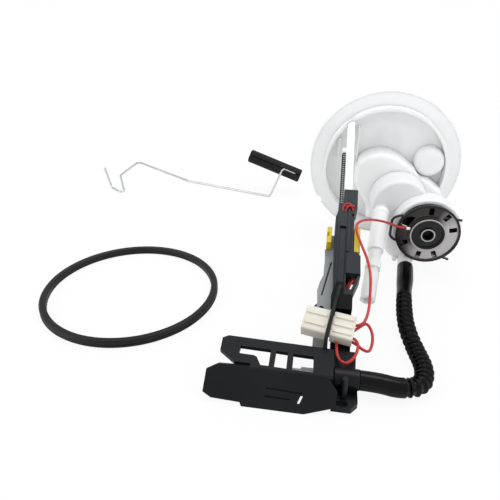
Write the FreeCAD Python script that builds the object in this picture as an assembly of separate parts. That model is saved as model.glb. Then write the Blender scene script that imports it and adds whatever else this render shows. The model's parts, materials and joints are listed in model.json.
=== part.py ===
import FreeCAD, Part
import math
import os

V = FreeCAD.Vector

# All sizes are in millimetres and all angles in degrees.
# The flange axis is the Y axis and the tank side points to -Y.
# The origin is the centre of the flange's sealing face, +Z is up from the table.

# Table and flange
flange_r = 70.0
table_z = -flange_r
lip_t = 5.0
neck_r = 57.0
neck_wall = 3.0
neck_depth = 12.0
rim_chamfer = 0.8
seat_groove_r = 69.0
seat_groove_w = 1.2
seat_groove_d = 0.5
dome_r = 48.0
dome_wall = 3.0
dome_h = 8.0
notch_w = 7.0
notch_d = 2.2
notch_angles = (213.0, 327.0)
boss_z = 9.0
boss_r = 13.5
boss_gap = 0.17
boss_h = 14.0
boss_round = 6.5
boss_x = math.sqrt((neck_r - neck_wall - boss_r - boss_gap) ** 2 - boss_z ** 2)
bump_x = -43.5
bump_w = 3.4
bump_h = 3.2
bump_z0 = 8.0
bump_z1 = 26.0
rib_x = -26.5
rib_t = 1.4
rib_h = 10.0
rib_z0 = 8.0
rib_z1 = 38.0
stem_r = 4.0
stem_bore_r = 2.2
stem_h = 20.0
stem_floor = 1.5
bead_rise = 0.9
bead_w = 2.0
bead_down = 4.0
stem_places = ((-20.0, -16.0), (20.0, -16.0))
shroud_x = 14.0
shroud_z0 = 14.0
shroud_z1 = 34.0
shroud_wall = 1.8
shroud_h = 15.0
shroud_floor = 1.0
pin_pitch = 5.6
pin_size = 1.0
pin_short = 4.0

# Leg direction and its start
slant = 26.7
leg_x = -34.5
leg_y = -10.0
leg_z = 45.0
leg_travel = 15.0

# Guide rail, spring and its rod
rail_w = 6.4
rail_t = 5.0
rail_t0 = -12.0
rail_t1 = 98.0
rail_gap = 0.3
rail_seat_gap = 0.02
rail_trim_y = -30.0
rail_skin = 1.0
rail_rib_w = 2.4
rail_rib_t = 1.6
rail_lug_t0 = 37.0
rail_lug_t1 = 41.5
spring_x = -5.1
spring_n = -2.5
spring_top = 41.8
spring_seat = 104.0
spring_wire = 0.7
spring_mid_r = 1.3
spring_turns = 26
spring_sides = 6
rod_r = 0.8
rod_end = 124.0
rod_bore_gap = 0.05

# Carriage, counted down the leg from its start
carriage_t0 = 89.0
carriage_t1 = 186.0
carriage_back = -9.0
carriage_front = 4.0
carriage_rib_h = 1.3

# Level sensor
plate_t = 2.0
clip_t = 2.2
board_t = 1.2
track_r0 = 20.0
track_r1 = 25.0
track_t = 0.2
contact_gap = 0.3
contact_t = 0.4
contact_w = 4.0
contact_turn = -28.0
hub_x = -14.5
hub_t = 190.0
hub_r = 5.5
hub_h = 5.5
hub_gap = 0.4
pivot_r = 1.6
pivot_gap = 0.05
arm_wire_r = 1.25
socket_gap = 0.05
socket_len = 6.0

# Lower leg and foot
lower_t1 = 226.0
lower_front = 2.0
clamp_t = 198.0
clamp_x0 = -8.8
clamp_h = 1.6
lower_x0 = -7.0
lower_x1 = 5.4
foot_x0 = -39.5
foot_x1 = -24.0
foot_y0 = -249.0
foot_y1 = -212.0
foot_base_t = 4.0
column_len = 22.0
column_back = -14.0
column_front = 3.4
port_y = -230.6
port_z = -60.4
port_r = 6.4
post_x = -32.4
post_y = -241.5
post_r = 1.9
post_top = -50.5
oval_x = -33.7
oval_y = -245.6
oval_l = 8.0
oval_w = 3.4
jet_y = -228.0
jet_z = -62.5
jet_r = 5.0
jet_x0 = -66.0

# Foot bracket
window_plate_z = -48.0
sheet_t = 2.4
fold_y = -243.0
bracket_x1 = -41.9
wall_t = 2.4

# Filter housing, cover and regulator
base_a = (-4.2, -13.0, 31.7)
base_b = (37.0, -30.0, 21.5)
base_y = -26.0
base_left = -27.5
base_corner_z = -9.5
base_low = (-13.0, -33.5)
base_round = 4.0
can_x = 12.8
can_z = -20.5
can_r = 25.0
can_wall = 2.0
can_y = -50.0
element_r = 21.5
element_valley_r = 18.5
element_core_r = 8.0
element_pleats = 22
cover_t = 3.0
cover_round = 2.4
manifold = (18.6, -47.8, 17.2)
manifold_y = -66.0
manifold_round = 3.5
nub = (12.5, -63.0, 2.0)
reg_x = 35.2
reg_z = -33.6
collar_r = 28.0
collar_bore_r = 25.0
collar_y = -68.0
body_r = 24.8
body_neck_r = 11.5
body_seat_r = 17.0
body_seat_t = 1.2
cap_r = 26.2
cap_y0 = -72.2
cap_t = 2.6
cap_rim_h = 1.4
cap_rim_w = 1.5
ring_r = 14.6
ring_h = 4.2
insert_r = 13.4
insert_h = 3.6
insert_floor_t = 2.4
insert_lip_w = 1.4
nozzle_r = 5.8
nozzle_h = 4.8
nozzle_bore_r = 3.3
slot_angles = (90.0, 50.0, 14.0, -66.0, -103.0, -152.0)
wide_slot_angle = 150.0
wide_slot_w = 12.2
slot_w = 4.0
slot_r0 = 17.4
slot_r1 = 23.6
lug_angle = 160.0
clip_wire_r = 1.1
clip_y = -69.4

# Elbow pipe
ball_x = -3.4
ball_y = -60.0
ball_z = -24.0
ball_r = 7.2
elbow_end = (-14.2, -140.0, -62.2)
elbow_r = (6.6, 5.0, 6.2, 5.0, 5.8)
elbow_cuts = (0.0, 0.46, 0.60, 0.67, 0.71, 1.0)
elbow_bore_r = 3.2

# Hose, with its centreline from the stub to the foot's port
hose_r = 6.6
hose_neck_r = 5.8
hose_end_r = 6.1
hose_core_r = 4.4
hose_crest_r = 6.1
hose_pitches = (6.1, 4.2)
ridge_share = 0.42
hose_bore_r = 3.9
hose_points = (
    (20.4, -82.0, -63.3),
    (18.6, -99.0, -63.25),
    (15.6, -119.0, -63.7),
    (12.6, -146.0, -63.86),
    (11.8, -168.0, -63.86),
    (14.6, -190.0, -63.86),
    (18.8, -210.4, -63.86),
    (14.6, -226.2, -63.7),
    (0.5, -231.4, -62.6),
    (-12.0, -230.6, -60.4),
    (-23.2, -230.6, -60.4),
)
hose_neck_start = 24.0
hose_plain_start = 46.0
hose_pitch_change = 106.0
hose_plain_end = 27.0
hose_socket = 7.0
stub_r = 6.4
stub_len = 24.0
stub_gap = 0.1

# Wires
wire_r = 0.95
lead_points = (
    (16.2, -78.2, -27.4),
    (9.4, -80.6, -26.0),
    (-3.0, -90.0, -17.6),
    (-16.0, -106.0, -9.2),
    (-26.4, -119.6, -5.4),
    (-28.6, -129.0, -7.4),
    (-24.6, -139.4, -13.6),
    (-19.4, -151.0, -20.0),
    (-17.0, -164.0, -26.0),
    (-17.4, -176.8, -33.0),
    (-18.2, -189.6, -38.6),
    (-22.0, -200.2, -42.6),
    (-28.1, -200.6, -42.5),
)
loop_a = (
    (-29.4, -208.3, -46.4),
    (-26.0, -209.4, -46.4),
    (-24.4, -214.0, -48.6),
    (-26.6, -220.4, -52.0),
    (-31.6, -225.0, -54.0),
    (-36.0, -222.6, -53.8),
    (-37.8, -217.0, -52.0),
    (-38.0, -211.0, -49.4),
)
loop_b = (
    (-28.4, -203.8, -45.2),
    (-23.0, -197.6, -44.8),
    (-19.0, -194.0, -44.0),
    (-15.6, -199.4, -46.6),
    (-15.2, -206.2, -49.8),
    (-17.2, -212.8, -53.0),
    (-22.0, -212.2, -51.8),
    (-25.4, -209.8, -49.9),
    (-30.2, -208.4, -48.8),
)

# Sensor connector, in the leg's frame
con_x = -8.4
con_up = 14.5
con_t = lower_t1 - con_up
con_turn = -9.5
con_half_gap = 1.5
con_len = (15.6, 14.2)
con_h = 17.6
con_n0 = 2.2
con_n1 = 13.0
con_wall = 1.6
con_round = 1.5
ridge_w = 2.0
ridge_h = 0.9
ridges = ((-4.0, 3.4), (-5.2, 0.2, 5.0))
strap_w = 2.3

# Seal ring, lying on the table
seal_x = -202.6
seal_y = -149.2
seal_r = 70.4
seal_w = 5.4
seal_h = 6.0
seal_groove = 0.6

# Float arm and float, lying on the table
arm_points = (
    (-328.0, 79.0, table_z + 23.6),
    (-317.4, 70.2, table_z + arm_wire_r),
    (-292.4, 51.6, table_z + arm_wire_r),
    (-325.6, 115.0, table_z + arm_wire_r),
    (-323.4, 174.0, table_z + arm_wire_r),
    (-229.9, 109.5, table_z + arm_wire_r),
    (-118.6, 74.6, table_z + arm_wire_r),
)
arm_bend = 3.6
float_a = (-147.0, 102.0, table_z + 41.7)
float_b = (-84.9, 96.6, table_z + 20.9)
float_r = 7.7
float_wire_off = 6.5
float_grip = (0.66, 0.90)

os.makedirs("parts", exist_ok=True)


# Small helpers for solids

def rod(a, b, r):
    a = V(*a)
    b = V(*b)
    return Part.makeCylinder(r, (b - a).Length, a, b - a)


def cyl_y(x, z, r, y0, y1):
    return Part.makeCylinder(r, abs(y1 - y0), V(x, min(y0, y1), z), V(0, 1, 0))


def tube_y(x, z, r, bore, y0, y1):
    return cyl_y(x, z, r, y0, y1).cut(cyl_y(x, z, bore, y0, y1))


def box(x0, x1, y0, y1, z0, z1):
    return Part.makeBox(x1 - x0, y1 - y0, z1 - z0, V(x0, y0, z0))


def prism_y(points, y0, y1):
    shape = [V(x, y0, z) for x, z in points]
    face = Part.Face(Part.makePolygon(shape + shape[:1]))
    return face.extrude(V(0, y1 - y0, 0))


def prism_z(points, z0, z1):
    shape = [V(x, y, z0) for x, y in points]
    face = Part.Face(Part.makePolygon(shape + shape[:1]))
    return face.extrude(V(0, 0, z1 - z0))


def join(shapes):
    out = shapes[0].multiFuse(shapes[1:]) if len(shapes) > 1 else shapes[0]
    return out.removeSplitter()


def circle_edges(shape):
    return [e for e in shape.Edges if e.Curve.TypeId == "Part::GeomCircle"]


def front_edges(shape, y):
    return [e for e in shape.Edges if abs(e.BoundBox.YMin - y) < 0.01 and e.BoundBox.YLength < 0.01]


def cut_all(shape, tools):
    for tool in tools:
        shape = shape.cut(tool)
    return shape


# The leg's own frame: x as in the row, t down the leg, n outward from it

def leg_place(shape):
    out = shape.copy()
    out.rotate(V(0, 0, 0), V(1, 0, 0), slant)
    out.translate(V(leg_x, leg_y, leg_z))
    return out


def leg_box(x0, x1, t0, t1, n0, n1):
    return box(x0, x1, -t1, -t0, n0, n1)


def leg_prism(points, n0, n1):
    return prism_z([(x, -t) for x, t in points], n0, n1)


# Cords: straight runs joined by tangent arcs

def rounded_path(points, limit=None):
    pts = [V(*p) for p in points]
    edges = []
    radii = []
    start = pts[0]
    for before, here, after in zip(pts, pts[1:], pts[2:]):
        u = (before - here).normalize()
        w = (after - here).normalize()
        half_turn = (math.pi - u.getAngle(w)) / 2.0
        run = min((before - here).Length, (after - here).Length)
        back = 0.45 * run
        radius = back / math.tan(half_turn)
        if limit and radius > limit:
            radius = limit
            back = limit * math.tan(half_turn)
        radii.append(radius)
        p = here + u * back
        q = here + w * back
        middle = here + (u + w).normalize() * (radius / math.cos(half_turn) - radius)
        edges.append(Part.makeLine(start, p))
        edges.append(Part.Arc(p, middle, q).toShape())
        start = q
    edges.append(Part.makeLine(start, pts[-1]))
    return edges, radii


def cord(points, r, limit=None):
    edges, radii = rounded_path(points, limit)
    path = Part.Wire(edges)
    start = V(*points[0])
    toward = V(*points[1]) - start
    ring = Part.Wire(Part.makeCircle(r, start, toward))
    return path.makePipeShell([ring], True, False), radii


def path_sample(edges, s):
    for edge in edges:
        if s <= edge.Length or edge is edges[-1]:
            u = edge.getParameterByLength(max(0.0, min(s, edge.Length)))
            return edge.valueAt(u), edge.tangentAt(u)
        s -= edge.Length


def save(name, shape):
    solids = shape.Solids
    if len(solids) == 1:
        shape = solids[0]
    shape.exportStep(os.path.join("parts", name + ".step"))
    bounds = shape.BoundBox
    print(
        name, "solids", len(solids), "volume_cm3", round(shape.Volume / 1000.0, 2),
        "z", round(bounds.ZMin, 2), round(bounds.ZMax, 2), "valid", shape.isValid())


# Guide rail, in the leg's frame first

def rail_solid(t0, t1, gap=0.0):
    half = rail_w / 2.0 + gap
    bar = leg_box(-half, half, t0, t1, -rail_t - gap, gap)
    rib_half = rail_rib_w / 2.0 + gap
    rib = leg_box(-rib_half, rib_half, t0, t1, -rail_t - rail_rib_t - gap, -rail_t)
    return bar.fuse(rib)


# Flange: disc, neck, dome, boss, stems and terminal shroud of one moulding

def flange_cap():
    lip = cyl_y(0, 0, flange_r, 0, lip_t)
    lip = lip.makeChamfer(rim_chamfer, circle_edges(lip))
    rib = box(rib_x - rib_t / 2, rib_x + rib_t / 2, -rib_h, 0.5, rib_z0, rib_z1)
    bump = box(bump_x - bump_w / 2, bump_x + bump_w / 2, -bump_h, 0.5, bump_z0, bump_z1)
    tools = [tube_y(0, 0, seat_groove_r, seat_groove_r - seat_groove_w, -0.1, seat_groove_d)]
    for angle in notch_angles:
        notch = box(flange_r - notch_d, flange_r + 5, -1, lip_t + 1, -notch_w / 2, notch_w / 2)
        notch.rotate(V(0, 0, 0), V(0, -1, 0), angle)
        tools.append(notch)
    return cut_all(join([lip, rib, bump]), tools)


def neck_ring():
    ring = tube_y(0, 0, neck_r, neck_r - neck_wall, -neck_depth, 0)
    rail_room = leg_place(rail_solid(rail_t0, rail_t1, rail_seat_gap))
    skin_r = neck_r - rail_skin + rail_seat_gap
    return ring.cut(rail_room.common(cyl_y(0, 0, skin_r, -neck_depth - 1, 1)))


def dome_ring():
    return tube_y(0, 0, dome_r, dome_r - dome_wall, lip_t, lip_t + dome_h)


def vent_boss():
    boss = cyl_y(boss_x, boss_z, boss_r, -boss_h, 0)
    return boss.makeFillet(boss_round, front_edges(boss, -boss_h))


def fuel_stems():
    top = lip_t + stem_h
    stems = []
    for x, z in stem_places:
        stem = cyl_y(x, z, stem_r, lip_t, top)
        bead = cyl_y(x, z, stem_r + bead_rise, top - bead_down - bead_w, top - bead_down)
        bore = cyl_y(x, z, stem_bore_r, lip_t + stem_floor, top + 1)
        stems.append(join([stem, bead]).cut(bore))
    return Part.makeCompound(stems)


def terminal_shroud():
    shroud = box(-shroud_x, shroud_x, lip_t, lip_t + shroud_h, shroud_z0, shroud_z1)
    room = box(
        -shroud_x + shroud_wall, shroud_x - shroud_wall, lip_t + shroud_floor, lip_t + shroud_h + 1,
        shroud_z0 + shroud_wall, shroud_z1 - shroud_wall)
    return shroud.cut(room)


def cap_terminals():
    pins = []
    z = (shroud_z0 + shroud_z1) / 2
    for row in (-1, 1):
        for column in (-1, 0, 1):
            x0 = column * pin_pitch - pin_size / 2
            z0 = z + row * pin_pitch / 2 - pin_size / 2
            pins.append(box(
                x0, x0 + pin_size, lip_t + shroud_floor, lip_t + shroud_h - pin_short, z0, z0 + pin_size))
    return Part.makeCompound(pins)


def guide_rail():
    rail = rail_solid(rail_t0, rail_t1)
    lug = leg_box(spring_x - 1.7, -rail_w / 2 + 0.1, rail_lug_t0, rail_lug_t1, -rail_t, -0.4)
    rail = rail.fuse(lug)
    bore = Part.makeCylinder(rod_r, 10, V(spring_x, -rail_lug_t1 - 1, spring_n), V(0, 1, 0))
    rail = leg_place(rail.cut(bore).removeSplitter())
    rail = rail.cut(box(-80, 0, 0, 40, 0, 90))
    return rail.cut(tube_y(0, 0, 90, neck_r - rail_skin, rail_trim_y, 0))


def spring_rod():
    length = rod_end - rail_lug_t0 - 0.5
    pin = Part.makeCylinder(rod_r, length, V(spring_x, -rod_end, spring_n), V(0, 1, 0))
    return leg_place(pin)


def leg_spring():
    wire_half = spring_wire / 2
    gap = 0.1 + wire_half
    length = spring_seat - spring_top - 2 * gap
    helix = Part.makeHelix(length / spring_turns, length, spring_mid_r)
    corners = []
    for k in range(spring_sides):
        angle = 2 * math.pi * k / spring_sides
        corners.append(V(spring_mid_r + wire_half * math.cos(angle), 0, wire_half * math.sin(angle)))
    section = Part.makePolygon(corners + corners[:1])
    coil = Part.Wire(helix).makePipeShell([section], True, True)
    coil.rotate(V(0, 0, 0), V(1, 0, 0), 90)
    coil.translate(V(spring_x, -spring_top - gap, spring_n))
    return leg_place(coil)


# Filter housing, filter, cover and elbow pipe

def hull_solid(a, b, y0, y1):
    ax, az, ar = a
    bx, bz, br = b
    base = math.atan2(bz - az, bx - ax)
    spread = math.acos((ar - br) / math.hypot(bx - ax, bz - az))
    up = base + spread
    down = base - spread
    quad = [
        (ax, az),
        (ax + ar * math.cos(down), az + ar * math.sin(down)),
        (bx + br * math.cos(down), bz + br * math.sin(down)),
        (bx, bz),
        (bx + br * math.cos(up), bz + br * math.sin(up)),
        (ax + ar * math.cos(up), az + ar * math.sin(up)),
    ]
    return join([cyl_y(ax, az, ar, y0, y1), cyl_y(bx, bz, br, y0, y1), prism_y(quad, y0, y1)])


def filter_housing():
    base = hull_solid(base_a, base_b, base_y, 0)
    far = 2 * flange_r
    corner = [
        (-far, far), (base_left, far), (base_left, base_corner_z),
        base_low, (base_low[0], -far), (-far, -far),
    ]
    base = base.cut(prism_y(corner, base_y - 1, 1)).removeSplitter()
    base = base.makeFillet(base_round, front_edges(base, base_y))
    foot_ring = cyl_y(can_x, can_z, can_r, base_y, -4)
    shape = join([base, foot_ring])
    cavity = cyl_y(can_x, can_z, can_r - can_wall, base_y - 1, -3.0)
    boss_room = cyl_y(boss_x, boss_z, boss_r + 0.4, -40, 1)
    rib_room = box(rib_x - 2, rib_x + 1.2, -40, 1, rib_z0 - 1, rib_z1)
    neck_room = tube_y(0, 0, 90, neck_r - neck_wall - 0.3, base_y - 1, 1)
    return cut_all(shape, [cavity, boss_room, rib_room, neck_room]).removeSplitter()


def filter_element():
    points = []
    for k in range(element_pleats * 2):
        r = element_r if k % 2 == 0 else element_valley_r
        angle = math.pi * k / element_pleats
        points.append((can_x + r * math.cos(angle), can_z + r * math.sin(angle)))
    star = prism_y(points, can_y + 1.0, -3.0)
    return star.cut(cyl_y(can_x, can_z, element_core_r, can_y, -8.0))


def filter_cover():
    y0 = can_y - cover_t
    drum = cyl_y(can_x, can_z, can_r, y0, base_y)
    drum = drum.makeFillet(cover_round, front_edges(drum, y0))
    cup = cyl_y(reg_x, reg_z, collar_r, collar_y, can_y)
    cup = cup.makeFillet(cover_t / 3, front_edges(cup, collar_y))
    chamber = cyl_y(*manifold, manifold_y, can_y)
    chamber = chamber.makeFillet(manifold_round, front_edges(chamber, manifold_y))
    socket = cyl_y(ball_x, ball_z, ball_r - 0.4, ball_y + 3.0, y0 + 0.5)
    mouth = V(*hose_points[0])
    out = (V(*hose_points[1]) - mouth).normalize()
    stub = Part.makeCylinder(stub_r, stub_len, mouth - out * (stub_len + stub_gap), out)
    neck = Part.makeCylinder(hose_bore_r - 0.1, 6.0, mouth - out, out)
    knob = cyl_y(*nub, manifold_y - 2.5, manifold_y + 6.0)
    shape = join([drum, cup, chamber, socket, stub, neck, knob])
    tools = [
        cyl_y(can_x, can_z, can_r - can_wall, can_y, base_y + 1),
        cyl_y(reg_x, reg_z, collar_bore_r, collar_y - 1, y0),
        Part.makeCylinder(2.4, stub_len + 10.0, mouth - out * stub_len, out),
        Part.makeSphere(ball_r + 0.02, V(ball_x, ball_y, ball_z)),
    ]
    return cut_all(shape, tools).removeSplitter()


def elbow_pipe():
    a = V(ball_x, ball_y, ball_z)
    b = V(*elbow_end)
    shapes = [Part.makeSphere(ball_r, a)]
    for r, f0, f1 in zip(elbow_r, elbow_cuts, elbow_cuts[1:]):
        p = a + (b - a) * f0
        q = a + (b - a) * f1
        shapes.append(Part.makeCylinder(r, (q - p).Length + 0.01, p, q - p))
    shape = join(shapes)
    far = b + (b - a).normalize() * 2.0
    bore = Part.makeCylinder(elbow_bore_r, (far - a).Length, a, far - a)
    return shape.cut(bore)


# Pressure regulator and its retaining clip

def regulator_body():
    body = cyl_y(reg_x, reg_z, body_r, collar_y + 1.4, can_y - cover_t)
    neck = cyl_y(reg_x, reg_z, body_neck_r, cap_y0, collar_y + 1.5)
    seat = cyl_y(reg_x, reg_z, body_seat_r, cap_y0, cap_y0 + body_seat_t)
    shape = join([body, neck, seat])
    groove = tube_y(reg_x, reg_z, body_r + 1, body_r - 1.6, -62.0, -59.4)
    return shape.cut(groove)


def regulator_seal():
    return tube_y(reg_x, reg_z, body_r + 0.1, body_r - 1.6, -61.6, -59.8)


def regulator_cap():
    y1 = cap_y0
    y0 = cap_y0 - cap_t
    disc = cyl_y(reg_x, reg_z, cap_r, y0 + 1.0, y1)
    dish = tube_y(reg_x, reg_z, cap_r, cap_r - cap_rim_w, y0 - cap_rim_h + 1.0, y1)
    shoulder = tube_y(reg_x, reg_z, ring_r + 1.6, ring_r, y0, y1)
    shape = join([disc, dish, shoulder])
    tools = [cyl_y(reg_x, reg_z, ring_r, y0 - 5, y1 + 1)]
    for angle in slot_angles:
        slot = box(slot_r0, slot_r1, y0 - 2, y1 + 1, -slot_w / 2, slot_w / 2)
        slot.rotate(V(0, 0, 0), V(0, -1, 0), angle)
        slot.translate(V(reg_x, 0, reg_z))
        tools.append(slot)
    wide = box(slot_r0, slot_r1 + 0.6, y0 - 2, y1 + 1, -wide_slot_w / 2, wide_slot_w / 2)
    wide.rotate(V(0, 0, 0), V(0, -1, 0), wide_slot_angle)
    wide.translate(V(reg_x, 0, reg_z))
    tools.append(wide)
    return cut_all(shape, tools)


def regulator_ring():
    return tube_y(reg_x, reg_z, ring_r, insert_r, cap_y0 - ring_h, cap_y0)


def regulator_insert():
    dish = tube_y(reg_x, reg_z, insert_r, nozzle_r, cap_y0 - insert_floor_t, cap_y0)
    lip = tube_y(reg_x, reg_z, insert_r, insert_r - insert_lip_w, cap_y0 - insert_h, cap_y0)
    return join([dish, lip])


def regulator_nozzle():
    return tube_y(reg_x, reg_z, nozzle_r, nozzle_bore_r, cap_y0 - nozzle_h, cap_y0)


def wire_lug():
    angle = math.radians(lug_angle)
    u = V(math.cos(angle), 0, math.sin(angle))
    p = V(reg_x, cap_y0 - 0.2, reg_z) + u * (slot_r0 + 3.4)
    back = collar_y + 1.4 - cap_y0 + 0.2
    blade = box(-2.6, 3.2, -5.4, back, -1.2, 1.2)
    blade.rotate(V(0, 0, 0), V(0, -1, 0), lug_angle)
    blade.translate(p)
    start = V(*lead_points[0])
    toward = (V(*lead_points[1]) - start).normalize()
    barrel = Part.makeCylinder(1.7, 3.4, start - toward * 3.0, toward)
    hole = Part.makeCylinder(wire_r, 3.0, start, toward)
    return join([blade, barrel]).cut(hole)


def retaining_clip():
    z_top = reg_z + 13.6
    points = (
        (61.6, clip_y, z_top - 1.0),
        (34.0, clip_y, z_top + 0.6),
        (11.0, clip_y, z_top),
        (5.4, clip_y, z_top - 3.4),
        (5.2, clip_y, reg_z - 6.0),
        (9.0, clip_y, reg_z - 9.4),
        (30.0, clip_y, reg_z - 15.6),
        (57.2, clip_y, reg_z - 25.0),
    )
    return cord(points, clip_wire_r)[0]


# Hose: plain ends and ridges between

def path_stretch(edges, s0, s1):
    pieces = []
    for edge in edges:
        low = max(s0, 0.0)
        high = min(s1, edge.Length)
        if high - low > 0.01:
            first = edge.getParameterByLength(low)
            last = edge.getParameterByLength(high)
            pieces.append(edge.Curve.toShape(first, last))
        s0 -= edge.Length
        s1 -= edge.Length
    return pieces


def swept(edges, r):
    start = edges[0].firstVertex().Point
    toward = edges[0].tangentAt(edges[0].FirstParameter)
    ring = Part.Wire(Part.makeCircle(r, start, toward))
    return Part.Wire(edges).makePipeShell([ring], True, False)


def hose_solid():
    edges, radii = rounded_path(hose_points)
    print("hose bend radii", [round(r, 1) for r in radii])
    total = sum(edge.Length for edge in edges)
    print("hose length", round(total, 1))
    ridges_end = total - hose_plain_end
    shapes = [
        swept(edges, hose_core_r),
        swept(path_stretch(edges, 0.0, hose_neck_start), hose_r),
        swept(path_stretch(edges, hose_neck_start, hose_plain_start), hose_neck_r),
        swept(path_stretch(edges, ridges_end, total), hose_end_r),
    ]
    s = hose_plain_start
    while True:
        pitch = hose_pitches[0] if s < hose_pitch_change else hose_pitches[1]
        s += pitch
        thick = pitch * ridge_share
        if s > ridges_end - thick:
            break
        p, tangent = path_sample(edges, s)
        shapes.append(Part.makeCylinder(hose_crest_r, thick, p - tangent * thick / 2.0, tangent))
    body = shapes[0].multiFuse(shapes[1:])
    for end, inner in ((hose_points[0], hose_points[1]), (hose_points[-1], hose_points[-2])):
        inward = (V(*inner) - V(*end)).normalize()
        body = body.cut(Part.makeCylinder(hose_bore_r, hose_socket + 1, V(*end) - inward, inward))
    return body


# Leg pieces

def carriage():
    outline = [
        (-3.4, carriage_t0), (7.2, carriage_t0), (7.2, 108), (5.2, 112), (5.2, 149), (10.3, 152),
        (10.6, 169), (5.8, 183), (5.8, carriage_t1), (-7.2, carriage_t1), (-8.4, 153), (-8.9, 118),
        (-7.2, 111), (-7.2, spring_seat), (-3.4, spring_seat),
    ]
    door = [(0.2, 150.8), (6.0, 150.8), (9.9, 153.4), (10.2, 168.4), (0.2, 168.4)]
    shape = leg_prism(outline, carriage_back, carriage_front)
    rib_n0 = carriage_front - 0.2
    rib_n1 = carriage_front + carriage_rib_h
    ribs = [
        leg_box(0.2, 2.2, 100, 150, rib_n0, rib_n1),
        leg_prism(door, rib_n0, rib_n1),
        leg_box(-7.2, -5.8, 122, 184, rib_n0, rib_n1),
        leg_box(-7.0, 5.6, 183.4, 185.8, rib_n0, rib_n1),
    ]
    shape = join([shape] + ribs)
    channel = rail_solid(carriage_t0 - 5, rail_t1 + leg_travel + 4, rail_gap)
    rod_bottom = rod_end + leg_travel + 2
    rod_bore = Part.makeCylinder(
        rod_r + rod_bore_gap, rod_bottom - 80, V(spring_x, -rod_bottom, spring_n), V(0, 1, 0))
    spring_room = leg_box(-12, -3.4, carriage_t0 - 1, spring_seat, carriage_back - 1, 0.5)
    window = leg_prism([(0.6, 169), (8.6, 169), (4.4, 180.6), (0.6, 180.6)], -20, 20)
    triangle = leg_prism([(-9.2, 117.0), (-7.9, 117.0), (-7.9, 124.0)], -20, 20)
    face_pocket = leg_box(-5.2, -0.6, 126, 176, carriage_front - 1.6, carriage_front + 3)
    side_pocket = leg_box(3.2, 8, 114, 146, carriage_front - 1.2, carriage_front + 3)
    shape = cut_all(shape, [channel, rod_bore, spring_room, window, triangle, face_pocket, side_pocket])
    return leg_place(shape)


def lower_leg():
    face = carriage_front + carriage_rib_h + 0.1
    stem = leg_box(lower_x0, lower_x1, carriage_t1, lower_t1, carriage_back, lower_front)
    outline = [
        (-5.6, 177), (-0.6, 177), (-0.6, clamp_t - 11), (lower_x1, clamp_t - 9), (lower_x1, clamp_t),
        (clamp_x0, clamp_t), (clamp_x0, 188), (-6.8, 180),
    ]
    cap = leg_prism(outline, face, face + clamp_h)
    bridge = leg_box(lower_x0, lower_x1, carriage_t1, clamp_t, lower_front - 0.1, face + 0.1)
    return leg_place(join([stem, cap, bridge]))


def sensor_plate():
    top = carriage_back
    outline = [
        (4.0, 126), (-10.7, 126), (-10.7, 139.8), (-15.2, 139.8), (-14.6, 148), (-14.8, 163), (-17.0, 169),
        (-18.4, 176), (-17.6, 186), (-18.6, 194), (-18.6, 228), (-8.6, 228),
        (-8.6, 196), (4.0, 196),
    ]
    shape = leg_prism(outline, top - plate_t, top)
    slot = leg_prism([(-9.0, 151), (-10.2, 151), (-15.6, 180), (-14.4, 180)], -30, 10)
    bore = Part.makeCylinder(pivot_r, 10, V(hub_x, -hub_t, top - 6), V(0, 0, 1))
    return leg_place(cut_all(shape, [slot, bore]))


def sensor_clip():
    back = carriage_back - plate_t
    pieces = [
        leg_box(-14.4, 9.9, 125, 139.6, back - clip_t, back),
        leg_box(-14.4, -10.9, 125, 139.6, back - clip_t, 0.5),
        leg_box(5.6, 9.9, 125, 139.6, back - clip_t, 2.6),
        leg_box(5.6, 9.9, 136, 148, back, 2.6),
    ]
    notch = leg_box(-14.9, -12.8, 130, 134, -3, 1)
    return leg_place(join(pieces).cut(notch))


def hub_point(n):
    return V(hub_x, -hub_t, n)


def hub_top():
    return carriage_back - plate_t - hub_gap


def sensor_board():
    top = carriage_back - plate_t
    outline = [(-13.6, 146), (3.5, 146), (3.5, 182), (-16.6, 182), (-16.6, 173), (-13.6, 164)]
    return leg_place(leg_prism(outline, top - board_t, top))


def resistor_track():
    low = carriage_back - plate_t - board_t
    ring = Part.makeCylinder(track_r1, track_t, hub_point(low - track_t), V(0, 0, 1))
    ring = ring.cut(Part.makeCylinder(track_r0, track_t, hub_point(low - track_t), V(0, 0, 1)))
    return leg_place(ring.common(leg_box(-12.0, 2.5, 160, 175, low - 1, low + 1)))


def contact_strip():
    n1 = carriage_back - plate_t - board_t - track_t - contact_gap
    y0 = -hub_t + hub_r - 2.0
    strip = box(hub_x - contact_w / 2, hub_x + contact_w / 2, y0, -hub_t + track_r1 - 1.0, n1 - contact_t, n1)
    strip.rotate(hub_point(0), V(0, 0, 1), contact_turn)
    return strip


def wiper_contact():
    return leg_place(contact_strip())


def wiper_hub():
    top = hub_top()
    hub = Part.makeCylinder(hub_r, hub_h, hub_point(top - hub_h), V(0, 0, 1))
    ear = box(hub_x - hub_r, hub_x + hub_r, -hub_t - 12.0, -hub_t, top - hub_h, top - 1.2)
    shape = join([hub, ear])
    bore = Part.makeCylinder(pivot_r + pivot_gap, 30, hub_point(top - 20), V(0, 0, 1))
    middle = top - hub_h / 2 - 0.6
    socket = Part.makeCylinder(
        arm_wire_r + socket_gap, socket_len + 0.5, V(hub_x + 3.5, -hub_t - 12.5, middle), V(0, 1, 0))
    slot = box(hub_x - hub_r - 1, hub_x + 1.5, -hub_t - 9.5, -hub_t - 7.5, top - hub_h - 1, top - 3.2)
    return leg_place(cut_all(shape, [bore, socket, slot, contact_strip()]))


def pivot_pin():
    top = hub_top()
    length = plate_t + hub_gap + hub_h + 0.4
    stem = Part.makeCylinder(pivot_r, length, hub_point(top - hub_h - 0.4), V(0, 0, 1))
    head = Part.makeCylinder(pivot_r + 1.4, 1.0, hub_point(top - hub_h - 1.4), V(0, 0, 1))
    return leg_place(join([stem, head]))


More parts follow.
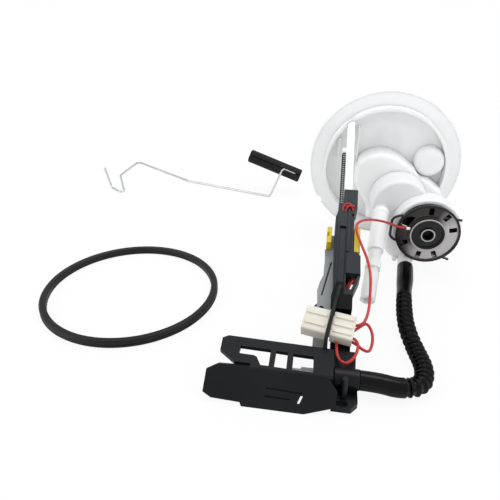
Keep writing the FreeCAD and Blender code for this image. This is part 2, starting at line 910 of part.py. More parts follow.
# Foot, port and bracket

def foot():
    column = leg_place(leg_box(
        foot_x0 - leg_x, foot_x1 - 1.5 - leg_x, lower_t1, lower_t1 + column_len, column_back, column_front))
    column = column.common(box(-60, 0, -260, -150, table_z + 1, 0))
    base_outline = [
        (foot_x0, foot_y1 - 6), (foot_x0, foot_y0), (foot_x1 - 4, foot_y0), (foot_x1, foot_y0 + 5),
        (foot_x1, foot_y1 - 6),
    ]
    base = prism_z(base_outline, table_z, table_z + foot_base_t)
    port = rod((foot_x0 + 1, port_y, port_z), (foot_x1 + 0.6, port_y, port_z), port_r)
    saddle = box(foot_x0 + 1, foot_x1 - 1.5, port_y - 4.5, port_y + 5, table_z + 1, port_z)
    post = Part.makeCylinder(post_r, post_top - table_z - 1, V(post_x, post_y, table_z + 1), V(0, 0, 1))
    rib = box(post_x - 0.8, post_x + 0.8, post_y, port_y, table_z + 1, port_z + 3)
    spigot = rod((foot_x1 + 0.5, port_y, port_z), (foot_x1 + 6.0, port_y, port_z), hose_bore_r - 0.1)
    shape = join([column, base, port, saddle, post, rib, spigot])
    bore = rod((foot_x0 + 4, port_y, port_z), (foot_x1 + 7, port_y, port_z), 2.4)
    reach = (oval_l - oval_w) / 2
    half = oval_w / 2
    low = table_z - 2
    oval = join([
        Part.makeCylinder(half, 10, V(oval_x - reach, oval_y, low), V(0, 0, 1)),
        Part.makeCylinder(half, 10, V(oval_x + reach, oval_y, low), V(0, 0, 1)),
        box(oval_x - reach, oval_x + reach, oval_y - half, oval_y + half, low, low + 10),
    ])
    return cut_all(shape, [bore, oval])


def jet_nozzle():
    x1 = bracket_x1
    big = rod((x1 - 9, jet_y, jet_z), (x1, jet_y, jet_z), jet_r)
    mid = rod((x1 - 17, jet_y, jet_z), (x1 - 9, jet_y, jet_z), jet_r - 1.2)
    tip = rod((jet_x0, jet_y, jet_z), (x1 - 17, jet_y, jet_z), jet_r - 2.4)
    bore = rod((jet_x0 - 1, jet_y, jet_z), (x1 - 3, jet_y, jet_z), 1.5)
    return join([big, mid, tip]).cut(bore)


def foot_bracket():
    c = math.cos(math.radians(slant))
    x1 = bracket_x1 + wall_t
    edge_y = fold_y - 0.6
    outline = [
        (-106.5, -216.8), (x1, -219.5), (x1, edge_y), (-88.3, edge_y),
        (-88.3, -240.6), (-98.2, -240.4), (-109.0, -231.0), (-110.0, -219.6),
    ]
    sheet = prism_z(outline, window_plate_z - sheet_t, window_plate_z)
    windows = [
        [
            (-97.0, -225.6), (-78.0, -226.4), (-77.6, -241.0), (-82.4, -241.0),
            (-85.6, -234.2), (-87.7, -233.0), (-97.0, -232.6),
        ],
        [(-74.6, -226.8), (-67.4, -227.3), (-67.0, -241.6), (-74.4, -241.2)],
        [(-63.8, -227.8), (-51.6, -228.4), (-51.2, -242.2), (-63.5, -241.8)],
    ]
    drop = (window_plate_z - table_z) / c
    sole_outline = [
        (-107.5, 0.6), (-114.6, 4.6), (-116.0, 18.6), (-110.8, 21.6), (-93.0, 22.3), (-92.0, drop),
        (-55.0, drop), (-37.0, 18.6), (-36.6, 9.0), (-43.6, 0.0), (-88.0, 0.0),
    ]
    grooves = [
        [(-77.7, 11.0), (-56.7, 12.0), (-56.7, 13.2), (-77.7, 12.2)],
        [(-78.5, 16.0), (-63.4, 16.4), (-63.4, 17.5), (-78.5, 17.1)],
    ]
    slot = [(-57.4, 14.2), (-55.8, 14.0), (-57.8, 19.4), (-59.4, 19.6)]

    def on_sole(points, n0, n1):
        shape = prism_y([(x, -down) for x, down in points], n0, n1)
        shape.rotate(V(0, 0, 0), V(1, 0, 0), -slant)
        shape.translate(V(0, fold_y, window_plate_z))
        return shape

    sole = on_sole(sole_outline, 0, sheet_t)
    wall = box(bracket_x1, x1, fold_y, -221.0, table_z + 1.5, window_plate_z)
    shape = join([sheet, sole, wall])
    shape = shape.common(box(-130, 0, -270, -200, table_z, 0))
    tools = [prism_z(w, -60, -40) for w in windows]
    tools += [on_sole(w, -5, 1.0) for w in grooves]
    tools.append(on_sole(slot, -5, 8))
    leg_room = leg_place(leg_box(-5.3, 20, lower_t1 - 60, lower_t1 + 30, -30, 10))
    tools.append(leg_room.common(box(foot_x0 + 0.01, 0, -260, -200, table_z - 10, 0)))
    return cut_all(shape, tools)


# Sensor connector and its strap, in the leg's frame

def con_place(shape):
    out = shape.copy()
    out.rotate(V(con_x, -con_t, 0), V(0, 0, 1), con_turn)
    return leg_place(out)


def connector_half(side):
    t0 = con_t - con_h / 2
    t1 = con_t + con_h / 2
    length = con_len[0] if side < 0 else con_len[1]
    inner = con_x + side * con_half_gap
    outer = con_x + side * (con_half_gap + length)
    x0 = min(inner, outer)
    x1 = max(inner, outer)
    shape = leg_box(x0, x1, t0, t1, con_n0, con_n1)
    shape = shape.makeFillet(con_round, [e for e in shape.Edges if e.BoundBox.XLength > length / 2])
    deep = 8.0
    mouth = outer - side * deep
    hollow = leg_box(
        min(mouth, outer + side), max(mouth, outer + side), t0 + con_wall, t1 - con_wall,
        con_n0 + con_wall, con_n1 - con_wall)
    pieces = [shape]
    for place in ridges[0] if side < 0 else ridges[1]:
        t = con_t + place
        pieces.append(leg_box(
            x0 + 1.2, x1 - 1.2, t - ridge_w / 2, t + ridge_w / 2, con_n1 - 0.2, con_n1 + ridge_h))
    if side < 0:
        bridge = leg_box(inner - 0.1, con_x + con_half_gap, con_t - 6, con_t + 6, con_n0 + 1, con_n1 - 2)
        pieces.append(bridge)
    return con_place(join(pieces).cut(hollow))


def connector_terminals():
    outer = con_x + con_half_gap + con_len[1]
    pins = []
    for k in (-1, 0, 1):
        t = con_t + k * 4.4
        pins.append(leg_box(outer - 8.0, outer - 1.6, t - 0.8, t + 0.8, 6.6, 8.2))
    return con_place(Part.makeCompound(pins))


def connector_strap():
    arch = [
        (180.0, 7.1), (185.0, 7.1), (198.6, 14.2), (223.0, 14.2), (223.4, -8.9), (226.4, -8.9), (226.4, -7.7),
        (224.6, -7.7), (224.2, 15.4), (198.2, 15.4), (184.6, 8.3), (180.0, 8.3),
    ]
    points = [V(con_x - strap_w / 2, -t, n) for t, n in arch]
    face = Part.Face(Part.makePolygon(points + points[:1]))
    return con_place(face.extrude(V(strap_w, 0, 0)))


# Loose pieces

def seal_ring():
    r0 = seal_r - seal_w
    g = seal_groove
    h = seal_h
    profile = [
        (r0 + 0.8, 0), (seal_r - 1.0, 0), (seal_r, 1.2),
        (seal_r, h * 0.36), (seal_r - g, h * 0.44), (seal_r - g, h * 0.56), (seal_r, h * 0.64),
        (seal_r, h - 1.2), (seal_r - 1.0, h), (r0 + 0.8, h), (r0, h - 0.8), (r0, 0.8),
    ]
    points = [V(r, 0, z) for r, z in profile]
    face = Part.Face(Part.makePolygon(points + points[:1]))
    ring = face.revolve(V(0, 0, 0), V(0, 0, 1), 360)
    ring.translate(V(seal_x, seal_y, table_z))
    return ring


def float_frame():
    a = V(*float_a)
    b = V(*float_b)
    u = (b - a).normalize()
    up = V(0, -0.9, 0.42)
    g = (up - u * up.dot(u)).normalize()
    return a, b, u, g


def float_arm():
    a, b, u, g = float_frame()
    length = (b - a).Length
    p = a + u * (length * float_grip[0]) + g * float_wire_off
    q = a + u * (length * float_grip[1]) + g * float_wire_off
    points = list(arm_points) + [(p.x, p.y, p.z), (q.x, q.y, q.z)]
    shape, radii = cord(points, arm_wire_r, arm_bend)
    print("float arm bend radii", [round(r, 1) for r in radii])
    room = cord(points[-4:], arm_wire_r + 0.05, arm_bend)[0]
    return shape, room


def float_body(room):
    a, b, u, g = float_frame()
    length = (b - a).Length
    shape = Part.makeCylinder(float_r, length, a, u)
    shape = shape.makeChamfer(0.9, circle_edges(shape))
    side = u.cross(g)
    w = arm_wire_r + 0.05
    floor = float_wire_off
    corner = a - u * 1.0 + g * floor - side * w
    slot = Part.makeBox(length + 2, 2 * w, float_r, V(0, 0, 0), V(0, 0, 1))
    frame = FreeCAD.Matrix(
        u.x, side.x, g.x, corner.x, u.y, side.y, g.y, corner.y, u.z, side.z, g.z, corner.z, 0, 0, 0, 1)
    slot.Placement = FreeCAD.Placement(frame)
    bed = Part.makeCylinder(w, length + 2, a - u * 1.0 + g * floor, u)
    return cut_all(shape, [slot.fuse(bed), room])


# Build and save every node

save("flange_cap", flange_cap())
save("neck_ring", neck_ring())
save("dome_ring", dome_ring())
save("vent_boss", vent_boss())
save("fuel_stems", fuel_stems())
save("terminal_shroud", terminal_shroud())
save("cap_terminals", cap_terminals())
save("guide_rail", guide_rail())
save("spring_rod", spring_rod())
save("leg_spring", leg_spring())
save("filter_housing", filter_housing())
save("filter_element", filter_element())
save("filter_cover", filter_cover())
save("elbow_pipe", elbow_pipe())
save("regulator_body", regulator_body())
save("regulator_seal", regulator_seal())
save("regulator_cap", regulator_cap())
save("regulator_ring", regulator_ring())
save("regulator_insert", regulator_insert())
save("regulator_nozzle", regulator_nozzle())
save("retaining_clip", retaining_clip())
save("wire_lug", wire_lug())
save("corrugated_hose", hose_solid())
save("carriage", carriage())
save("lower_leg", lower_leg())
save("sensor_plate", sensor_plate())
save("sensor_clip", sensor_clip())
save("sensor_board", sensor_board())
save("resistor_track", resistor_track())
save("wiper_hub", wiper_hub())
save("wiper_contact", wiper_contact())
save("pivot_pin", pivot_pin())
save("foot", foot())
save("jet_nozzle", jet_nozzle())
save("foot_bracket", foot_bracket())
save("connector_left", connector_half(-1))
save("connector_right", connector_half(1))
save("connector_terminals", connector_terminals())
save("connector_strap", connector_strap())
for name, points in (("regulator_lead", lead_points), ("loop_wire_a", loop_a), ("loop_wire_b", loop_b)):
    shape, radii = cord(points, wire_r)
    print(name, "bend radii", [round(r, 1) for r in radii])
    save(name, shape)
save("seal_ring", seal_ring())
arm, arm_room = float_arm()
save("float_arm", arm)
save("float", float_body(arm_room))
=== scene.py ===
import json
import math

import bmesh
import bpy
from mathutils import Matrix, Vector


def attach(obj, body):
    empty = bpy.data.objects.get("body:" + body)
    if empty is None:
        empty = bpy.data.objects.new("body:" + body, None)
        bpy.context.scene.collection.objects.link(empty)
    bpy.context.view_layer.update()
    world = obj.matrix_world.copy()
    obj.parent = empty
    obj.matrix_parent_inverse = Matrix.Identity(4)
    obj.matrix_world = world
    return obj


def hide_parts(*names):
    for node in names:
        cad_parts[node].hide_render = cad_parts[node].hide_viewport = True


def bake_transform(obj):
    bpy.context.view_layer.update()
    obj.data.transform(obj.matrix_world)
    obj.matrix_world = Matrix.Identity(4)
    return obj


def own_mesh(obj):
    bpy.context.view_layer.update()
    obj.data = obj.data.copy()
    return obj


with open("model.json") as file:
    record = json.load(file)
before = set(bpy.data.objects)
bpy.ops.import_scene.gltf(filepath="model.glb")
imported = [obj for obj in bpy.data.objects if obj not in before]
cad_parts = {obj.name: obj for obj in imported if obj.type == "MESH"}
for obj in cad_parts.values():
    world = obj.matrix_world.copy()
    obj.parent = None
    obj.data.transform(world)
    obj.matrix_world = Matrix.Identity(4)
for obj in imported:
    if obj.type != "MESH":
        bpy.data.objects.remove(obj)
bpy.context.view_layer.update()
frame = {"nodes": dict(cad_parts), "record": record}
nodes = frame["nodes"]

# Sizes in metres, repeated from the source of the solids
floor_z = -0.070
leg_up = Vector((0.0, 0.8934, 0.4493))
leg_out = Vector((0.0, -0.4493, 0.8934))
leg_start = Vector((-0.0345, -0.010, 0.045))
regulator_centre = (0.0352, -0.0722, -0.0336)
hose_r = 0.0066
hose_neck_r = 0.0058
hose_end_r = 0.0061
hose_crest_r = 0.0061
hose_valley_r = (0.0035, 0.0041)
hose_crest_power = 3.6
hose_pitches = (0.0061, 0.0042)
hose_neck_start = 0.024
hose_plain_start = 0.046
hose_pitch_change = 0.107
hose_change_reach = 0.012
hose_plain_end = 0.027
wire_r = 0.00095
wire_end_r = 0.0007
spring_turns = 26
spring_turn_steps = 14
spring_x = -0.0051
spring_n = -0.0025
spring_t0 = 0.0424
spring_t1 = 0.1034
spring_mid_r = 0.0013
spring_wire_r = 0.00046

hose_points = (
    (0.0204, -0.0820, -0.0633),
    (0.0186, -0.0990, -0.06325),
    (0.0156, -0.1190, -0.0637),
    (0.0126, -0.1460, -0.06386),
    (0.0118, -0.1680, -0.06386),
    (0.0146, -0.1900, -0.06386),
    (0.0188, -0.2104, -0.06386),
    (0.0146, -0.2262, -0.0637),
    (0.0005, -0.2314, -0.0626),
    (-0.0120, -0.2306, -0.0604),
    (-0.0232, -0.2306, -0.0604),
)
lead_points = (
    (0.0162, -0.0782, -0.0274),
    (0.0094, -0.0806, -0.0260),
    (-0.0030, -0.0900, -0.0176),
    (-0.0160, -0.1060, -0.0092),
    (-0.0264, -0.1196, -0.0054),
    (-0.0286, -0.1290, -0.0074),
    (-0.0246, -0.1394, -0.0136),
    (-0.0194, -0.1510, -0.0200),
    (-0.0170, -0.1640, -0.0260),
    (-0.0174, -0.1768, -0.0330),
    (-0.0182, -0.1896, -0.0386),
    (-0.0220, -0.2002, -0.0426),
    (-0.0281, -0.2006, -0.0425),
)
loop_a_points = (
    (-0.0294, -0.2083, -0.0464),
    (-0.0260, -0.2094, -0.0464),
    (-0.0244, -0.2140, -0.0486),
    (-0.0266, -0.2204, -0.0520),
    (-0.0316, -0.2250, -0.0540),
    (-0.0360, -0.2226, -0.0538),
    (-0.0378, -0.2170, -0.0520),
    (-0.0380, -0.2110, -0.0494),
)
loop_b_points = (
    (-0.0284, -0.2038, -0.0452),
    (-0.0230, -0.1976, -0.0448),
    (-0.0190, -0.1940, -0.0440),
    (-0.0156, -0.1994, -0.0466),
    (-0.0152, -0.2062, -0.0498),
    (-0.0172, -0.2128, -0.0530),
    (-0.0220, -0.2122, -0.0518),
    (-0.0254, -0.2098, -0.0499),
    (-0.0302, -0.2084, -0.0488),
)


# Materials

def new_material(name):
    mat = bpy.data.materials.new(name)
    mat.use_nodes = True
    tree = mat.node_tree
    return mat, tree, tree.nodes["Principled BSDF"]


def noise(tree, scale, detail=3.0, roughness=0.5, stretch=None):
    coords = tree.nodes.new("ShaderNodeTexCoord")
    tex = tree.nodes.new("ShaderNodeTexNoise")
    tex.inputs["Scale"].default_value = scale
    tex.inputs["Detail"].default_value = detail
    tex.inputs["Roughness"].default_value = roughness
    source = coords.outputs["Object"]
    if stretch:
        mapping = tree.nodes.new("ShaderNodeMapping")
        mapping.inputs["Scale"].default_value = stretch
        tree.links.new(source, mapping.inputs["Vector"])
        source = mapping.outputs["Vector"]
    tree.links.new(source, tex.inputs["Vector"])
    return tex.outputs["Fac"]


def spread(tree, value, low, high, from_low=0.3, from_high=0.7):
    node = tree.nodes.new("ShaderNodeMapRange")
    node.inputs["From Min"].default_value = from_low
    node.inputs["From Max"].default_value = from_high
    node.inputs["To Min"].default_value = low
    node.inputs["To Max"].default_value = high
    tree.links.new(value, node.inputs["Value"])
    return node.outputs["Result"]


def two_colours(tree, value, a, b):
    mix = tree.nodes.new("ShaderNodeMix")
    mix.data_type = "RGBA"
    for socket, colour in (("A", a), ("B", b)):
        if isinstance(colour, tuple):
            mix.inputs[socket].default_value = (*colour, 1.0)
        else:
            tree.links.new(colour, mix.inputs[socket])
    tree.links.new(value, mix.inputs["Factor"])
    return mix.outputs["Result"]


def bumped(tree, shader, height, distance, edge=0.0):
    bump = tree.nodes.new("ShaderNodeBump")
    bump.inputs["Strength"].default_value = 1.0
    bump.inputs["Distance"].default_value = distance
    tree.links.new(height, bump.inputs["Height"])
    if edge:
        bevel = tree.nodes.new("ShaderNodeBevel")
        bevel.samples = 6
        bevel.inputs["Radius"].default_value = edge
        tree.links.new(bevel.outputs["Normal"], bump.inputs["Normal"])
    tree.links.new(bump.outputs["Normal"], shader.inputs["Normal"])


def surface(name, dark, light, rough, patch=30.0, grain=900.0, depth=0.00002, edge=0.0004, metallic=0.0,
            stretch=None, gloss=0.5):
    mat, tree, shader = new_material(name)
    shader.inputs["Specular IOR Level"].default_value = gloss
    broad = spread(tree, noise(tree, patch, 4.0), 0.0, 1.0)
    tree.links.new(two_colours(tree, broad, dark, light), shader.inputs["Base Color"])
    fine = noise(tree, grain, 2.0, 0.6, stretch)
    tree.links.new(spread(tree, fine, rough[0], rough[1]), shader.inputs["Roughness"])
    shader.inputs["Metallic"].default_value = metallic
    bumped(tree, shader, fine, depth, edge)
    return mat, tree, shader


def milky(name, dark, light, weight, depth_m, rough):
    mat, tree, shader = surface(name, dark, light, rough, patch=14.0, grain=260.0, depth=0.00003, edge=0.0007)
    shader.inputs["Subsurface Weight"].default_value = weight
    shader.inputs["Subsurface Radius"].default_value = (1.0, 0.95, 0.9)
    shader.inputs["Subsurface Scale"].default_value = depth_m
    return mat


def from_regulator_axis(tree):
    coords = tree.nodes.new("ShaderNodeTexCoord")
    shift = tree.nodes.new("ShaderNodeVectorMath")
    shift.operation = "SUBTRACT"
    shift.inputs[1].default_value = regulator_centre
    tree.links.new(coords.outputs["Object"], shift.inputs[0])
    flat = tree.nodes.new("ShaderNodeVectorMath")
    flat.operation = "MULTIPLY"
    flat.inputs[1].default_value = (1.0, 0.0, 1.0)
    tree.links.new(shift.outputs["Vector"], flat.inputs[0])
    reach = tree.nodes.new("ShaderNodeVectorMath")
    reach.operation = "LENGTH"
    tree.links.new(flat.outputs["Vector"], reach.inputs[0])
    return flat.outputs["Vector"], reach.outputs["Value"]


def steel_with_painted_reflection(name):
    mat, tree, shader = new_material(name)
    place, reach = from_regulator_axis(tree)
    # Painted reflection: the cap is coloured bright on the side that points along (0.75, 0, -0.66) from its
    # axis and near black on the other side
    way = tree.nodes.new("ShaderNodeVectorMath")
    way.operation = "NORMALIZE"
    tree.links.new(place, way.inputs[0])
    reflection_facing = tree.nodes.new("ShaderNodeVectorMath")
    reflection_facing.operation = "DOT_PRODUCT"
    reflection_facing.inputs[1].default_value = (0.75, 0.0, -0.66)
    tree.links.new(way.outputs["Vector"], reflection_facing.inputs[0])
    reflection_side = spread(tree, reflection_facing.outputs["Value"], 0.0, 1.0, -0.35, 0.45)
    painted_reflection = two_colours(tree, reflection_side, (0.050, 0.045, 0.045), (0.46, 0.445, 0.44))
    rim = spread(tree, reach, 0.0, 1.0, 0.0236, 0.0250)
    tree.links.new(two_colours(tree, rim, painted_reflection, (0.030, 0.026, 0.026)), shader.inputs["Base Color"])
    scratches = noise(tree, 420.0, 2.0, 0.6, (1.0, 1.0, 6.0))
    tree.links.new(spread(tree, scratches, 0.16, 0.30), shader.inputs["Roughness"])
    shader.inputs["Metallic"].default_value = 1.0
    bumped(tree, shader, scratches, 0.00001, 0.0004)
    return mat


def ringed_chrome(name):
    mat, tree, shader = new_material(name)
    reach = from_regulator_axis(tree)[1]
    lip = spread(tree, reach, 0.0, 1.0, 0.0047, 0.0050)
    colour = two_colours(tree, lip, (0.008, 0.008, 0.009), (0.44, 0.43, 0.43))
    tree.links.new(colour, shader.inputs["Base Color"])
    fine = noise(tree, 900.0, 2.0, 0.6)
    tree.links.new(spread(tree, fine, 0.12, 0.22), shader.inputs["Roughness"])
    shader.inputs["Metallic"].default_value = 1.0
    bumped(tree, shader, fine, 0.00001, 0.0003)
    return mat


def make_materials():
    made = {}
    made["moulded_white"] = milky(
        "moulded_white", (0.86, 0.865, 0.86), (0.92, 0.925, 0.92), 0.55, 0.008, (0.34, 0.46))
    made["clear_nylon"] = milky(
        "clear_nylon", (0.66, 0.67, 0.68), (0.76, 0.77, 0.78), 0.5, 0.003, (0.30, 0.40))
    plain = {
        "filter_paper": ((0.66, 0.60, 0.42), (0.74, 0.68, 0.50), (0.8, 0.95), 0.5),
        "seal_rubber": ((0.004, 0.004, 0.0045), (0.008, 0.008, 0.009), (0.36, 0.52), 0.26),
        "insert_black": ((0.004, 0.004, 0.0045), (0.009, 0.009, 0.010), (0.20, 0.32), 0.3),
        "wire_red": ((0.42, 0.013, 0.012), (0.56, 0.022, 0.018), (0.26, 0.36), 0.5),
        "carriage_grey": ((0.006, 0.0095, 0.0135), (0.011, 0.016, 0.022), (0.28, 0.42), 0.20),
        "sensor_grey": ((0.265, 0.275, 0.280), (0.330, 0.342, 0.348), (0.38, 0.52), 0.4),
        "clip_yellow": ((0.58, 0.43, 0.006), (0.68, 0.52, 0.010), (0.34, 0.46), 0.4),
        "board_green": ((0.004, 0.014, 0.008), (0.008, 0.022, 0.013), (0.30, 0.42), 0.4),
        "track_carbon": ((0.012, 0.012, 0.012), (0.03, 0.03, 0.03), (0.5, 0.65), 0.4),
        "foot_black": ((0.0042, 0.0046, 0.0056), (0.0075, 0.0080, 0.0096), (0.28, 0.42), 0.20),
        "connector_ivory": ((0.68, 0.64, 0.54), (0.78, 0.75, 0.66), (0.34, 0.46), 0.4),
    }
    for name, (dark, light, rough, gloss) in plain.items():
        made[name] = surface(name, dark, light, rough, gloss=gloss)[0]
    made["float_black"] = surface(
        "float_black", (0.004, 0.0035, 0.0035), (0.011, 0.010, 0.010), (0.62, 0.8),
        grain=1500.0, depth=0.00012, gloss=0.3)[0]
    # Painted shade: a darker copy of the foot's black plastic for the lower leg, which lies in shade
    made["leg_black_painted_shade"] = surface(
        "leg_black_painted_shade", (0.0010, 0.0011, 0.0014), (0.0020, 0.0022, 0.0027), (0.32, 0.46), gloss=0.10)[0]
    made["ring_steel"] = surface(
        "ring_steel", (0.34, 0.33, 0.33), (0.46, 0.45, 0.45), (0.16, 0.26), metallic=1.0, edge=0.0003)[0]
    made["arm_steel"] = surface(
        "arm_steel", (0.60, 0.60, 0.60), (0.74, 0.74, 0.74), (0.24, 0.36), metallic=1.0, edge=0.0)[0]
    # Painted shade: the regulator body is near black so the slots in its cap read as shaded hollows
    made["regulator_painted_shade"] = surface(
        "regulator_painted_shade", (0.012, 0.011, 0.011), (0.024, 0.021, 0.021), (0.3, 0.4), metallic=1.0)[0]
    made["spring_steel"] = surface(
        "spring_steel", (0.010, 0.010, 0.011), (0.022, 0.022, 0.024), (0.20, 0.34), metallic=1.0, edge=0.0)[0]
    made["clip_steel"] = surface(
        "clip_steel", (0.05, 0.05, 0.052), (0.10, 0.10, 0.10), (0.24, 0.36), metallic=1.0, edge=0.0)[0]
    made["nozzle_chrome"] = ringed_chrome("nozzle_chrome")
    made["lug_chrome"] = surface(
        "lug_chrome", (0.66, 0.66, 0.67), (0.78, 0.78, 0.79), (0.12, 0.22), metallic=1.0, edge=0.0003)[0]
    made["contact_brass"] = surface(
        "contact_brass", (0.60, 0.42, 0.16), (0.72, 0.52, 0.22), (0.2, 0.34), metallic=1.0, edge=0.0002)[0]
    made["regulator_zinc"] = steel_with_painted_reflection("regulator_zinc")
    made["hose_black"] = surface(
        "hose_black", (0.0009, 0.0009, 0.0010), (0.0020, 0.0020, 0.0023), (0.12, 0.22),
        grain=380.0, depth=0.00008, edge=0.0, gloss=0.17)[0]
    return made


materials = make_materials()
slot_of = {s["node"]: s["material_slot"] for s in frame["record"]["subparts"]}
for node_name, node in nodes.items():
    chosen = materials[slot_of[node_name]]
    node.data.materials.clear()
    node.data.materials.append(chosen)
own_finish = {
    "retaining_clip": "clip_steel",
    # painted shade seen through the cap's slots
    "regulator_body": "regulator_painted_shade",
    "regulator_ring": "ring_steel",
    "wire_lug": "lug_chrome",
    "float_arm": "arm_steel",
    # painted shade on the lower leg
    "lower_leg": "leg_black_painted_shade",
}
for node_name, finish in own_finish.items():
    nodes[node_name].data.materials[0] = materials[finish]


# Cords: one smooth spline each

def line_of(points):
    data = bpy.data.curves.new("guide", "CURVE")
    data.dimensions = "3D"
    data.resolution_u = 10
    spline = data.splines.new("NURBS")
    spline.points.add(len(points) - 1)
    for point, place in zip(spline.points, points):
        point.co = (*place, 1.0)
    spline.order_u = 3
    spline.use_endpoint_u = True
    guide = bpy.data.objects.new("guide", data)
    bpy.context.scene.collection.objects.link(guide)
    bpy.context.view_layer.update()
    mesh = bpy.data.meshes.new_from_object(guide)
    line = [v.co.copy() for v in mesh.vertices]
    bpy.data.meshes.remove(mesh)
    bpy.data.objects.remove(guide)
    return line


def length_of(line):
    return sum((b - a).length for a, b in zip(line, line[1:]))


def along(line, step):
    total = length_of(line)
    count = max(2, round(total / step))
    places = []
    done = 0.0
    index = 0
    for k in range(count + 1):
        target = total * k / count
        while index < len(line) - 2 and done + (line[index + 1] - line[index]).length < target:
            done += (line[index + 1] - line[index]).length
            index += 1
        part = line[index + 1] - line[index]
        places.append((target, line[index] + part * ((target - done) / part.length)))
    return places


def link_mesh(name, bm, material, smooth=True):
    mesh = bpy.data.meshes.new(name)
    bm.to_mesh(mesh)
    bm.free()
    for polygon in mesh.polygons:
        polygon.use_smooth = smooth
    mesh.materials.append(material)
    obj = bpy.data.objects.new(name, mesh)
    bpy.context.scene.collection.objects.link(obj)
    return obj


def tube(name, line, radius_at, step, sides, material):
    places = along(line, step)
    bm = bmesh.new()
    rings = []
    across = None
    for k, (s, p) in enumerate(places):
        before = places[max(k - 1, 0)][1]
        after = places[min(k + 1, len(places) - 1)][1]
        ahead = (after - before).normalized()
        if across is None:
            across = ahead.orthogonal().normalized()
        across = (across - ahead * across.dot(ahead)).normalized()
        side = ahead.cross(across)
        r = radius_at(s)
        ring = []
        for j in range(sides):
            angle = 2.0 * math.pi * j / sides
            ring.append(bm.verts.new(p + (across * math.cos(angle) + side * math.sin(angle)) * r))
        rings.append(ring)
    for low, high in zip(rings, rings[1:]):
        for j in range(sides):
            bm.faces.new((low[j], low[(j + 1) % sides], high[(j + 1) % sides], high[j]))
    bm.faces.new(list(reversed(rings[0])))
    bm.faces.new(rings[-1])
    return link_mesh(name, bm, material)


hose_line = line_of(hose_points)
hose_length = length_of(hose_line)


def eased(low, high, value):
    t = max(0.0, min(1.0, (value - low) / (high - low)))
    return t * t * (3.0 - 2.0 * t)


def hose_radius(s):
    ribbed_end = hose_length - hose_plain_end
    if s < hose_plain_start:
        neck = eased(hose_neck_start - 0.004, hose_neck_start + 0.016, s)
        return hose_r + (hose_neck_r - hose_r) * neck
    if s > ribbed_end:
        return hose_end_r
    wide = min(s, hose_pitch_change) - hose_plain_start
    narrow = max(0.0, s - hose_pitch_change)
    phase = wide / hose_pitches[0] + narrow / hose_pitches[1]
    shallow = eased(hose_pitch_change - hose_change_reach, hose_pitch_change + hose_change_reach, s)
    valley = hose_valley_r[0] + (hose_valley_r[1] - hose_valley_r[0]) * shallow
    crest = 0.5 + 0.5 * math.cos(2.0 * math.pi * phase)
    return valley + (hose_crest_r - valley) * crest ** hose_crest_power


hose = tube("hose", hose_line, hose_radius, 0.0004, 40, materials["hose_black"])
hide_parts("corrugated_hose")
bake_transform(hose)

lead_line = line_of(lead_points)
lead = tube("red_lead", lead_line, lambda s: wire_r, 0.0012, 16, materials["wire_red"])
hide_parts("regulator_lead")
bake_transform(lead)

loops = (
    ("red_loop_a", loop_a_points, "loop_wire_a", 0.0394),
    ("red_loop_b", loop_b_points, "loop_wire_b", 0.0475),
)
for name, points, node_name, length in loops:
    line = line_of(points)
    loop = tube(name, line, lambda s: wire_r, 0.0008, 16, materials["wire_red"])
    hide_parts(node_name)
    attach(loop, "leg")
    print(name, "length", round(length_of(line), 4))
print("hose length", round(hose_length, 4), "lead length", round(length_of(lead_line), 4))


# The leg's spring, a round wire helix (the real spring shortens as the leg slides in)

def leg_point(x, t, n):
    return leg_start + Vector((x, 0.0, 0.0)) - leg_up * t + leg_out * n


spring_top = leg_point(spring_x, spring_t0, spring_n)
spring_bottom = leg_point(spring_x, spring_t1, spring_n)
spring_line = []
steps = spring_turns * spring_turn_steps
for k in range(steps + 1):
    share = k / steps
    angle = 2.0 * math.pi * spring_turns * share
    centre = spring_top.lerp(spring_bottom, share)
    sideways = Vector((1.0, 0.0, 0.0)) * (spring_mid_r * math.cos(angle))
    spring_line.append(centre + sideways + leg_out * (spring_mid_r * math.sin(angle)))
spring = tube("coil_spring", spring_line, lambda s: spring_wire_r, 0.0005, 8, materials["spring_steel"])
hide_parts("leg_spring")
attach(spring, "unit")
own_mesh(spring)


# Ends of the red wires, on the carriage's face and in its opening

def leg_line(points):
    return line_of([tuple(leg_point(x / 1000.0, t / 1000.0, n / 1000.0)) for x, t, n in points])


# Places across, down and out of the leg, in millimetres
wire_ends = {
    "wire_end_a": (
        (-3.6, 110.8, 3.6), (-3.8, 107.4, 5.8), (-0.8, 105.6, 6.6), (2.4, 106.6, 6.6), (4.0, 110.4, 3.6)),
    "wire_end_b": (
        (-1.4, 111.4, 3.6), (-1.0, 108.6, 6.4), (2.0, 108.0, 6.8), (4.2, 107.2, 5.4), (4.4, 106.0, 3.6)),
    "wire_end_c": ((7.8, 168.6, -1.0), (6.0, 172.0, 1.8), (3.6, 176.0, 1.6), (2.0, 181.0, -0.6)),
    "wire_end_d": ((4.4, 168.6, -2.6), (3.6, 172.4, -0.6), (1.8, 176.4, -0.8), (0.2, 179.0, -2.2)),
}
for name, points in wire_ends.items():
    wire_end = tube(name, leg_line(points), lambda s: wire_end_r, 0.0004, 12, materials["wire_red"])
    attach(wire_end, "leg")


# Floor, light and camera

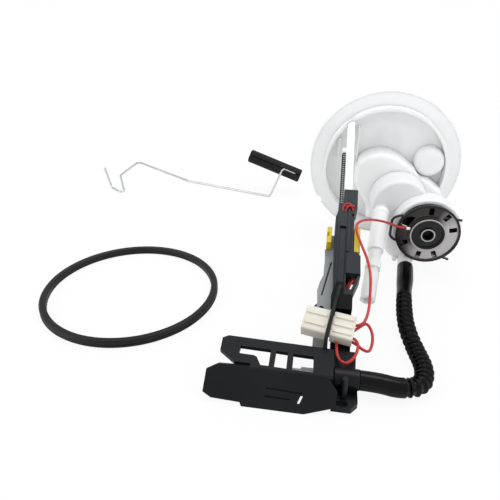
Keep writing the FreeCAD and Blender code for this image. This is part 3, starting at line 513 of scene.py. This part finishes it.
def floor_material():
    mat = bpy.data.materials.new("floor")
    mat.use_nodes = True
    tree = mat.node_tree
    tree.nodes.clear()
    out = tree.nodes.new("ShaderNodeOutputMaterial")
    soft = tree.nodes.new("ShaderNodeBsdfDiffuse")
    soft.inputs["Color"].default_value = (0.86, 0.86, 0.86, 1.0)
    glow = tree.nodes.new("ShaderNodeEmission")
    glow.inputs["Color"].default_value = (1.0, 1.0, 1.0, 1.0)
    glow.inputs["Strength"].default_value = 1.0
    path = tree.nodes.new("ShaderNodeLightPath")
    most = tree.nodes.new("ShaderNodeMath")
    most.operation = "MAXIMUM"
    tree.links.new(path.outputs["Is Camera Ray"], most.inputs[0])
    tree.links.new(path.outputs["Is Transmission Ray"], most.inputs[1])
    coords = tree.nodes.new("ShaderNodeTexCoord")
    away = tree.nodes.new("ShaderNodeVectorMath")
    away.operation = "LENGTH"
    tree.links.new(coords.outputs["Object"], away.inputs[0])
    share = tree.nodes.new("ShaderNodeMath")
    share.operation = "MULTIPLY"
    tree.links.new(most.outputs["Value"], share.inputs[0])
    tree.links.new(spread(tree, away.outputs["Value"], 0.90, 1.0, 0.34, 0.75), share.inputs[1])
    mix = tree.nodes.new("ShaderNodeMixShader")
    tree.links.new(share.outputs["Value"], mix.inputs["Fac"])
    tree.links.new(soft.outputs["BSDF"], mix.inputs[1])
    tree.links.new(glow.outputs["Emission"], mix.inputs[2])
    tree.links.new(mix.outputs["Shader"], out.inputs["Surface"])
    return mat


def add_floor():
    bm = bmesh.new()
    bmesh.ops.create_grid(bm, x_segments=8, y_segments=8, size=6.0)
    floor = link_mesh("floor", bm, floor_material(), smooth=False)
    floor.location = (0.0, 0.0, floor_z - 0.0001)


def set_world():
    world = bpy.data.worlds.new("world")
    bpy.context.scene.world = world
    world.use_nodes = True
    tree = world.node_tree
    tree.nodes.clear()
    out = tree.nodes.new("ShaderNodeOutputWorld")
    light = tree.nodes.new("ShaderNodeBackground")
    light.inputs["Color"].default_value = (0.97, 0.98, 1.0, 1.0)
    light.inputs["Strength"].default_value = 0.78
    white = tree.nodes.new("ShaderNodeBackground")
    white.inputs["Color"].default_value = (1.0, 1.0, 1.0, 1.0)
    white.inputs["Strength"].default_value = 1.0
    path = tree.nodes.new("ShaderNodeLightPath")
    seen = tree.nodes.new("ShaderNodeMath")
    seen.operation = "MAXIMUM"
    tree.links.new(path.outputs["Is Camera Ray"], seen.inputs[0])
    tree.links.new(path.outputs["Is Transmission Ray"], seen.inputs[1])
    mix = tree.nodes.new("ShaderNodeMixShader")
    tree.links.new(seen.outputs["Value"], mix.inputs["Fac"])
    tree.links.new(light.outputs["Background"], mix.inputs[1])
    tree.links.new(white.outputs["Background"], mix.inputs[2])
    tree.links.new(mix.outputs["Shader"], out.inputs["Surface"])


def add_lamp(name, place, target, size, watts):
    data = bpy.data.lights.new(name, "AREA")
    data.shape = "RECTANGLE"
    data.size = size[0]
    data.size_y = size[1]
    data.energy = watts
    lamp = bpy.data.objects.new(name, data)
    lamp.location = place
    lamp.rotation_euler = (Vector(target) - Vector(place)).to_track_quat("-Z", "Y").to_euler()
    bpy.context.scene.collection.objects.link(lamp)


def add_camera():
    data = bpy.data.cameras.new("camera")
    data.lens = 34.2
    data.sensor_width = 36.0
    data.clip_start = 0.01
    data.clip_end = 50.0
    camera = bpy.data.objects.new("camera", data)
    camera.location = (-0.0522, -0.4542, 0.1458)
    camera.rotation_euler = (math.radians(61.6), 0.0, math.radians(9.7))
    bpy.context.scene.collection.objects.link(camera)
    bpy.context.scene.camera = camera


add_floor()
set_world()
add_lamp("top_light", (0.1, 0.15, 1.1), (0.0, -0.08, 0.0), (0.9, 0.6), 5.0)
add_lamp("left_light", (-0.9, -0.5, 0.5), (0.0, -0.1, -0.03), (0.5, 0.9), 2.2)
add_lamp("right_light", (0.9, -0.35, 0.35), (0.0, -0.1, -0.03), (0.5, 0.9), 1.6)
add_camera()
bpy.context.scene.view_settings.view_transform = "Standard"
